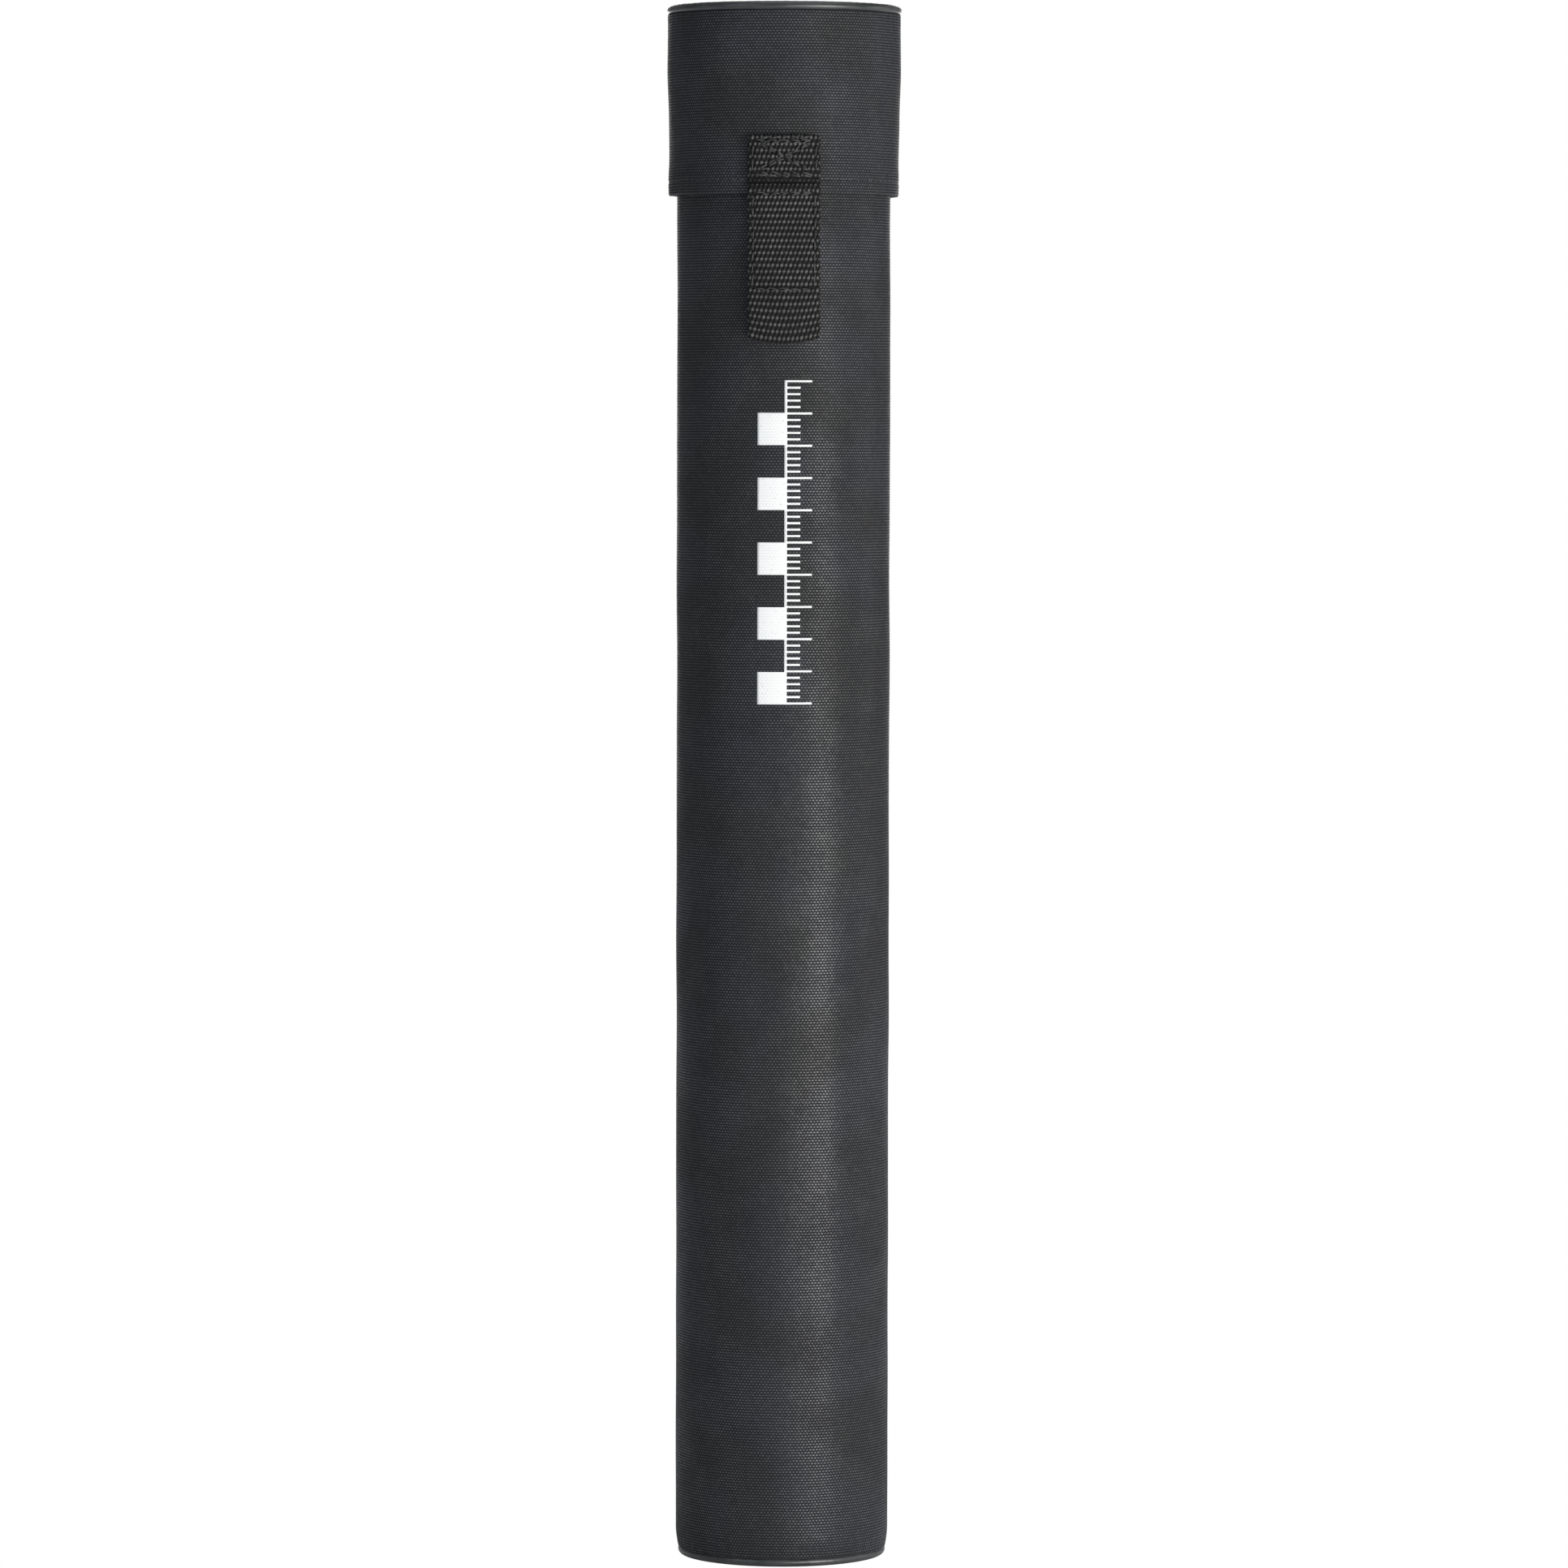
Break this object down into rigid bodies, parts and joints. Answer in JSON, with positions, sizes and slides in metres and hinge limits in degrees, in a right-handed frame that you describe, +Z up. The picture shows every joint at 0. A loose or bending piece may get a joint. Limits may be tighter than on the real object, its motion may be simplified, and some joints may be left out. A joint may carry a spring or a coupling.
{
  "type": "drawing tube",
  "caption": "Cloth-covered rigid carrying tube with piped ends, a slip-on cap, and a webbing pull strap that closes on a hook-and-loop patch.",
  "frame": {"origin": "on the tube's axis, in the plane of the base bead that it stands on", "axes": "+Z up the tube's axis towards the cap; -Y out of the front, where the strap is; +X to the right of someone who faces the strap"},
  "size_m": [0.081, 0.0833, 0.533],
  "materials": {
    "wound_board": "matte wound fibreboard",
    "stiff_board": "matte grey board",
    "outer_cloth": "coated plain-weave cloth, slightly sheeny",
    "lining_cloth": "soft dull lining",
    "binding_tape": "ribbed grosgrain tape",
    "black_vinyl": "glossy soft vinyl",
    "piping_cord": "matte",
    "grey_foam": "open soft foam",
    "dark_thread": "bonded polyester thread",
    "webbing": "coarse woven webbing",
    "hook_plastic": "fine moulded hooks",
    "loop_pile": "brushed loop pile",
    "white_ink": "flat screen-print ink"
  },
  "bodies": {
    "case_body": {"tube_core": "wound_board", "tube_cover": "outer_cloth", "tube_seam_thread": "dark_thread", "tube_lining": "lining_cloth", "mouth_binding": "binding_tape", "base_piping": "black_vinyl", "base_piping_cord": "piping_cord", "base_cover": "outer_cloth", "base_board": "stiff_board", "base_foam": "grey_foam", "base_lining": "lining_cloth", "loop_patch": "loop_pile", "printed_scale": "white_ink"},
    "cap": {"cap_core": "wound_board", "cap_cover": "outer_cloth", "cap_seam_thread": "dark_thread", "cap_hem_thread": "dark_thread", "cap_lining": "lining_cloth", "cap_piping": "black_vinyl", "cap_piping_cord": "piping_cord", "cap_top_cover": "outer_cloth", "cap_board": "stiff_board", "cap_foam": "grey_foam", "cap_top_lining": "lining_cloth", "strap_anchor": "webbing", "strap_box_thread": "dark_thread"},
    "strap": {"strap_panel": "webbing", "hook_patch": "hook_plastic", "hook_patch_thread": "dark_thread"},
    "pull_tab": {"pull_tab": "webbing"}
  },
  "joints": [
    {"name": "cap_slide", "type": "slide", "parent": "case_body", "child": "cap", "axis": [0, 0, 1], "range_m": [0, 0.14]},
    {"name": "strap_peel", "type": "hinge", "parent": "cap", "child": "strap", "pos_m": [0, -0.0423, 0.4718], "axis": [-1, 0, 0], "range_deg": [0, 150]},
    {"name": "pull_tab_bend", "type": "hinge", "parent": "strap", "child": "pull_tab", "pos_m": [0, -0.0412, 0.4338], "axis": [-1, 0, 0], "range_deg": [0, 60]}
  ]
}
